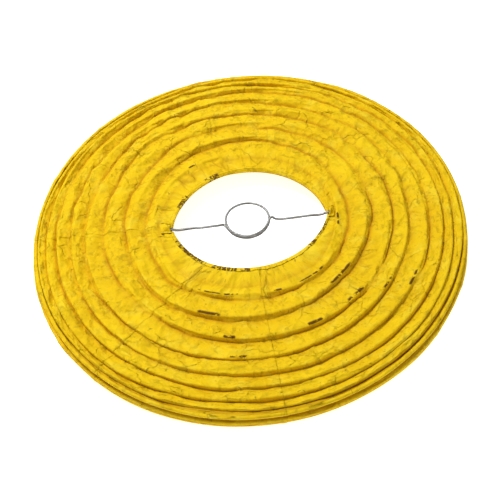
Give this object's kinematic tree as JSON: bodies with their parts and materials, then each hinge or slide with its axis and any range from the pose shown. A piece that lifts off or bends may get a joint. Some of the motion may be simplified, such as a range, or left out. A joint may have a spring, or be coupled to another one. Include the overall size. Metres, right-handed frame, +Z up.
{
  "type": "folding paper lantern shade",
  "caption": "Round accordion lantern shade of crumpled handmade paper over wire hoops, folded flat, with a bent wire crossbar and lampholder loop in the top opening.",
  "frame": {"origin": "on the shade's vertical axis, at the foot of the bottom hem", "axes": "+Z up through the openings; -Y is the front; the crossbar runs along X"},
  "size_m": [0.42, 0.42, 0.025],
  "materials": {
    "gore_paper": "matte crumpled handmade paper with plant fibres",
    "hem_paper": "matte handmade paper, torn edges",
    "hoop_wire": "dull drawn wire",
    "bar_wire": "galvanised wire with dark streaks"
  },
  "bodies": {
    "bottom_ring": {"bottom_hoop": "hoop_wire", "bottom_hem": "hem_paper", "paper_gore_1": "gore_paper", "paper_gore_2": "gore_paper", "paper_gore_3": "gore_paper", "paper_gore_4": "gore_paper", "paper_gore_5": "gore_paper", "paper_gore_6": "gore_paper", "paper_gore_7": "gore_paper", "paper_gore_8": "gore_paper"},
    "top_ring": {"top_hoop": "hoop_wire", "top_hem_back": "hem_paper", "top_hem_front": "hem_paper", "crossbar": "bar_wire"},
    "upper_hoop_1_ring": {"upper_hoop_1": "hoop_wire"},
    "upper_hoop_2_ring": {"upper_hoop_2": "hoop_wire"},
    "upper_hoop_3_ring": {"upper_hoop_3": "hoop_wire"},
    "upper_hoop_4_ring": {"upper_hoop_4": "hoop_wire"},
    "upper_hoop_5_ring": {"upper_hoop_5": "hoop_wire"},
    "upper_hoop_6_ring": {"upper_hoop_6": "hoop_wire"},
    "upper_hoop_7_ring": {"upper_hoop_7": "hoop_wire"},
    "upper_hoop_8_ring": {"upper_hoop_8": "hoop_wire"},
    "upper_hoop_9_ring": {"upper_hoop_9": "hoop_wire"},
    "rim_hoop_ring": {"rim_hoop": "hoop_wire"},
    "lower_hoop_9_ring": {"lower_hoop_9": "hoop_wire"},
    "lower_hoop_8_ring": {"lower_hoop_8": "hoop_wire"},
    "lower_hoop_7_ring": {"lower_hoop_7": "hoop_wire"},
    "lower_hoop_6_ring": {"lower_hoop_6": "hoop_wire"},
    "lower_hoop_5_ring": {"lower_hoop_5": "hoop_wire"},
    "lower_hoop_4_ring": {"lower_hoop_4": "hoop_wire"},
    "lower_hoop_3_ring": {"lower_hoop_3": "hoop_wire"},
    "lower_hoop_2_ring": {"lower_hoop_2": "hoop_wire"},
    "lower_hoop_1_ring": {"lower_hoop_1": "hoop_wire"}
  },
  "joints": [
    {"name": "unfold", "type": "slide", "parent": "bottom_ring", "child": "top_ring", "axis": [0, 0, 1], "range_m": [0, 0.2573], "deforming": ["paper_gore_1", "paper_gore_2", "paper_gore_3", "paper_gore_4", "paper_gore_5", "paper_gore_6", "paper_gore_7", "paper_gore_8"]},
    {"name": "upper_hoop_1_lift", "type": "slide", "parent": "bottom_ring", "child": "upper_hoop_1_ring", "axis": [0, 0, 1], "range_m": [0, 0.2499]},
    {"name": "upper_hoop_2_lift", "type": "slide", "parent": "bottom_ring", "child": "upper_hoop_2_ring", "axis": [0, 0, 1], "range_m": [0, 0.2403]},
    {"name": "upper_hoop_3_lift", "type": "slide", "parent": "bottom_ring", "child": "upper_hoop_3_ring", "axis": [0, 0, 1], "range_m": [0, 0.2288]},
    {"name": "upper_hoop_4_lift", "type": "slide", "parent": "bottom_ring", "child": "upper_hoop_4_ring", "axis": [0, 0, 1], "range_m": [0, 0.2158]},
    {"name": "upper_hoop_5_lift", "type": "slide", "parent": "bottom_ring", "child": "upper_hoop_5_ring", "axis": [0, 0, 1], "range_m": [0, 0.2014]},
    {"name": "upper_hoop_6_lift", "type": "slide", "parent": "bottom_ring", "child": "upper_hoop_6_ring", "axis": [0, 0, 1], "range_m": [0, 0.1859]},
    {"name": "upper_hoop_7_lift", "type": "slide", "parent": "bottom_ring", "child": "upper_hoop_7_ring", "axis": [0, 0, 1], "range_m": [0, 0.1696]},
    {"name": "upper_hoop_8_lift", "type": "slide", "parent": "bottom_ring", "child": "upper_hoop_8_ring", "axis": [0, 0, 1], "range_m": [0, 0.1527]},
    {"name": "upper_hoop_9_lift", "type": "slide", "parent": "bottom_ring", "child": "upper_hoop_9_ring", "axis": [0, 0, 1], "range_m": [0, 0.1359]},
    {"name": "rim_hoop_lift", "type": "slide", "parent": "bottom_ring", "child": "rim_hoop_ring", "axis": [0, 0, 1], "range_m": [0, 0.124]},
    {"name": "lower_hoop_9_lift", "type": "slide", "parent": "bottom_ring", "child": "lower_hoop_9_ring", "axis": [0, 0, 1], "range_m": [0, 0.1133]},
    {"name": "lower_hoop_8_lift", "type": "slide", "parent": "bottom_ring", "child": "lower_hoop_8_ring", "axis": [0, 0, 1], "range_m": [0, 0.0978]},
    {"name": "lower_hoop_7_lift", "type": "slide", "parent": "bottom_ring", "child": "lower_hoop_7_ring", "axis": [0, 0, 1], "range_m": [0, 0.0823]},
    {"name": "lower_hoop_6_lift", "type": "slide", "parent": "bottom_ring", "child": "lower_hoop_6_ring", "axis": [0, 0, 1], "range_m": [0, 0.0673]},
    {"name": "lower_hoop_5_lift", "type": "slide", "parent": "bottom_ring", "child": "lower_hoop_5_ring", "axis": [0, 0, 1], "range_m": [0, 0.053]},
    {"name": "lower_hoop_4_lift", "type": "slide", "parent": "bottom_ring", "child": "lower_hoop_4_ring", "axis": [0, 0, 1], "range_m": [0, 0.0397]},
    {"name": "lower_hoop_3_lift", "type": "slide", "parent": "bottom_ring", "child": "lower_hoop_3_ring", "axis": [0, 0, 1], "range_m": [0, 0.0276]},
    {"name": "lower_hoop_2_lift", "type": "slide", "parent": "bottom_ring", "child": "lower_hoop_2_ring", "axis": [0, 0, 1], "range_m": [0, 0.0169]},
    {"name": "lower_hoop_1_lift", "type": "slide", "parent": "bottom_ring", "child": "lower_hoop_1_ring", "axis": [0, 0, 1], "range_m": [0, 0.0077]}
  ],
  "couplings": [
    {"joint": "upper_hoop_1_lift", "follows": "unfold", "ratio": 0.9705},
    {"joint": "upper_hoop_2_lift", "follows": "unfold", "ratio": 0.9332},
    {"joint": "upper_hoop_3_lift", "follows": "unfold", "ratio": 0.8885},
    {"joint": "upper_hoop_4_lift", "follows": "unfold", "ratio": 0.8379},
    {"joint": "upper_hoop_5_lift", "follows": "unfold", "ratio": 0.782},
    {"joint": "upper_hoop_6_lift", "follows": "unfold", "ratio": 0.7217},
    {"joint": "upper_hoop_7_lift", "follows": "unfold", "ratio": 0.6584},
    {"joint": "upper_hoop_8_lift", "follows": "unfold", "ratio": 0.5927},
    {"joint": "upper_hoop_9_lift", "follows": "unfold", "ratio": 0.5274},
    {"joint": "rim_hoop_lift", "follows": "unfold", "ratio": 0.4812},
    {"joint": "lower_hoop_9_lift", "follows": "unfold", "ratio": 0.4396},
    {"joint": "lower_hoop_8_lift", "follows": "unfold", "ratio": 0.3793},
    {"joint": "lower_hoop_7_lift", "follows": "unfold", "ratio": 0.3191},
    {"joint": "lower_hoop_6_lift", "follows": "unfold", "ratio": 0.2608},
    {"joint": "lower_hoop_5_lift", "follows": "unfold", "ratio": 0.2052},
    {"joint": "lower_hoop_4_lift", "follows": "unfold", "ratio": 0.1535},
    {"joint": "lower_hoop_3_lift", "follows": "unfold", "ratio": 0.1065},
    {"joint": "lower_hoop_2_lift", "follows": "unfold", "ratio": 0.0649},
    {"joint": "lower_hoop_1_lift", "follows": "unfold", "ratio": 0.0291}
  ]
}
